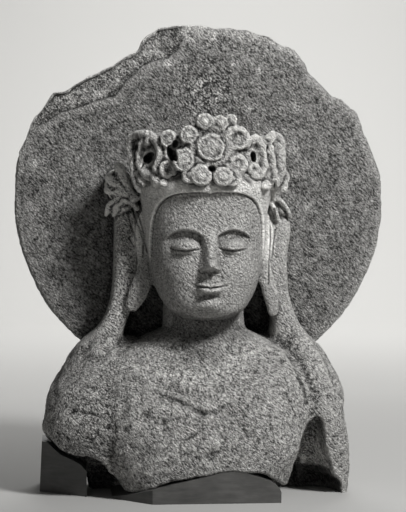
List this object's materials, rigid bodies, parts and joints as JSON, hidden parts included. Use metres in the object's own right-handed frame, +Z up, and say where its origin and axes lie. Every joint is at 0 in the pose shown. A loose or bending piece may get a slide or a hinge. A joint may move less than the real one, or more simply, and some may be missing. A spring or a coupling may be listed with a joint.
{
  "type": "bodhisattva head",
  "caption": "Broken bust of a crowned bodhisattva with a round halo, carved from one stone and propped on two cut support blocks.",
  "frame": {"origin": "middle of the object's bounding box in plan, on the surface it stands on", "axes": "+Z up, the figure looks along -Y, +X to the viewer's right"},
  "size_m": [0.5979, 0.278, 0.7443],
  "materials": {
    "weathered_stone": "matt, pitted and worn sandstone",
    "painted_wood": "dark satin paint with rubbed edges"
  },
  "bodies": {
    "root": {"stone_bust": "weathered_stone", "left_support_block": "painted_wood", "centre_support_block": "painted_wood"}
  },
  "joints": []
}
